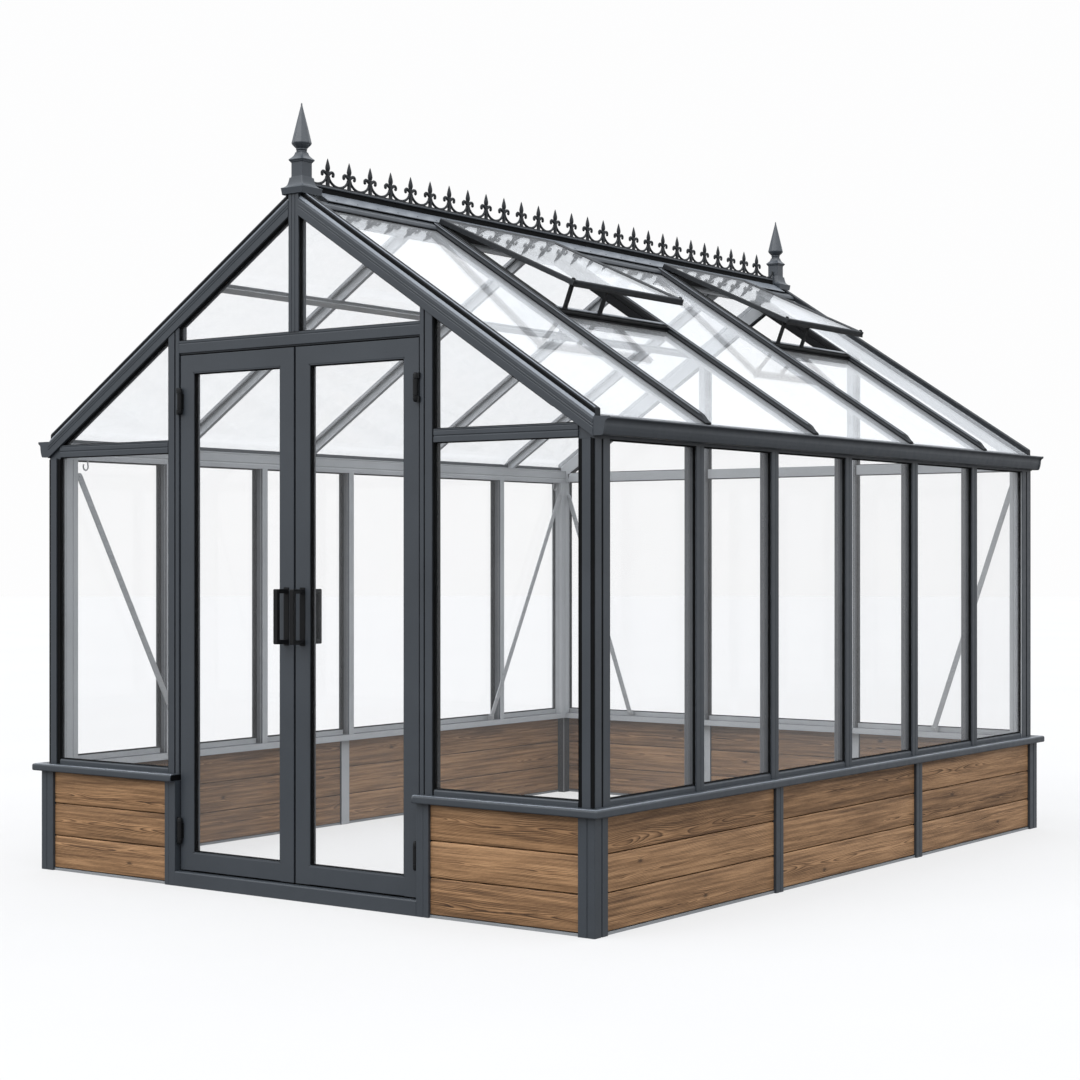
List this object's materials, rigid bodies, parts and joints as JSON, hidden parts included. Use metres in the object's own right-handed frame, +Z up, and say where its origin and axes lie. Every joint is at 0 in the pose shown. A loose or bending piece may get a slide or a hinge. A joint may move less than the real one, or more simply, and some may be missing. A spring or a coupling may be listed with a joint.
{
  "type": "glass greenhouse",
  "caption": "Gabled glass greenhouse on a low board wall, with double doors, roof vents standing open, gutters, ridge cresting and finials.",
  "frame": {"origin": "centre of the footprint, on the ground", "axes": "+Z up, +Y from the door gable to the rear gable, along the ridge; +X to the right as seen from the doors"},
  "size_m": [2.83, 3.723, 2.97],
  "materials": {
    "frame": "satin",
    "black_fittings": "satin",
    "bare_aluminium": "satin",
    "boards": "satin",
    "glass": "polished"
  },
  "bodies": {
    "root": {"base_posts": "frame", "base_rails": "bare_aluminium", "corner_posts": "frame", "door_header": "frame", "door_hinge_pins": "black_fittings", "door_posts": "frame", "door_threshold": "frame", "eave_beams": "frame", "front_barges": "frame", "front_board_panels": "boards", "front_glass": "glass", "gable_eave_rails": "frame", "gable_king_post": "frame", "gutters": "frame", "left_board_panels": "boards", "left_wall_bars": "frame", "left_wall_glass": "glass", "rear_barges": "frame", "rear_board_panels": "boards", "rear_glass": "glass", "rear_wall_bars": "frame", "ridge_beam": "frame", "ridge_cap": "frame", "ridge_cresting": "frame", "ridge_finials": "frame", "right_board_panels": "boards", "right_wall_bars": "frame", "right_wall_glass": "glass", "roof_bars_left": "frame", "roof_bars_right": "frame", "roof_glass_left": "glass", "roof_glass_right": "glass", "roof_purlin": "bare_aluminium", "sill_front": "frame", "sill_left": "frame", "sill_rear": "frame", "sill_right": "frame", "vent_glass": "glass", "vent_kerbs": "frame", "vent_sashes": "frame", "vent_stays": "black_fittings", "wall_braces": "bare_aluminium"},
    "door_left": {"door_left_frame": "frame", "door_left_glass": "glass", "door_left_handles": "black_fittings", "door_left_hinges": "black_fittings"},
    "door_right": {"door_right_frame": "frame", "door_right_glass": "glass", "door_right_handles": "black_fittings", "door_right_hinges": "black_fittings"}
  },
  "joints": [
    {"name": "door_left_hinge", "type": "hinge", "parent": "root", "child": "door_left", "pos_m": [-0.5915, -1.8105, 1], "axis": [0, 0, -1], "range_deg": [0, 90]},
    {"name": "door_right_hinge", "type": "hinge", "parent": "root", "child": "door_right", "pos_m": [0.5915, -1.8105, 1], "axis": [0, 0, 1], "range_deg": [0, 90]}
  ]
}
